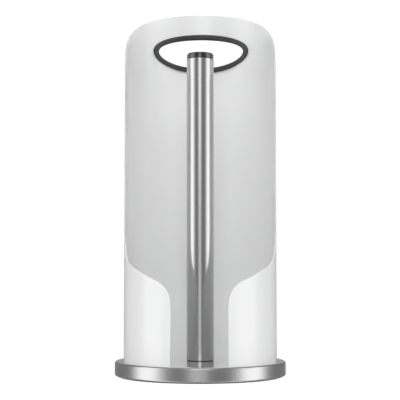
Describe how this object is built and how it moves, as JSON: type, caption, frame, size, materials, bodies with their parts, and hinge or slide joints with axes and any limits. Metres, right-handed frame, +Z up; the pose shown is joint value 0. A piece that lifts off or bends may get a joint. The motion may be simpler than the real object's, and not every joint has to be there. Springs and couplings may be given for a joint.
{
  "type": "paper towel holder",
  "caption": "Free-standing paper towel holder: round weighted steel base, upright steel rod and a white rolled sheet shell, open at the front, with a hand hole.",
  "frame": {"origin": "centre of the underside, on the surface that the holder stands on", "axes": "+Z up along the rod; the open front faces -Y; +X to the right seen from the front"},
  "size_m": [0.1564, 0.1564, 0.3503],
  "materials": {
    "white_coating": "glossy white powder coating on sheet steel",
    "brushed_steel_base": "satin stainless steel, brushed round the rim",
    "polished_steel_rod": "fine ground stainless tube",
    "black_plastic": "moulded black plastic, satin",
    "dark_rubber": "matt extruded rubber edging",
    "foot_rubber": "matt non-slip rubber",
    "ballast_steel": "raw plate steel, oiled",
    "zinc_steel": "bright zinc plate"
  },
  "bodies": {
    "root": {"base_cover": "brushed_steel_base", "ballast_disc": "ballast_steel", "bottom_plate": "black_plastic", "bottom_plate_screws": "zinc_steel", "foot_ring": "foot_rubber", "shell": "white_coating", "handle_trim": "dark_rubber", "tab_nuts": "zinc_steel", "tab_screws": "zinc_steel", "tab_spring_washers": "zinc_steel", "rod_tube": "polished_steel_rod", "rod_cap": "black_plastic", "rod_foot_insert": "zinc_steel", "rod_gasket": "black_plastic", "rod_washer": "zinc_steel", "rod_spring_washer": "zinc_steel", "rod_screw": "zinc_steel"}
  },
  "joints": []
}
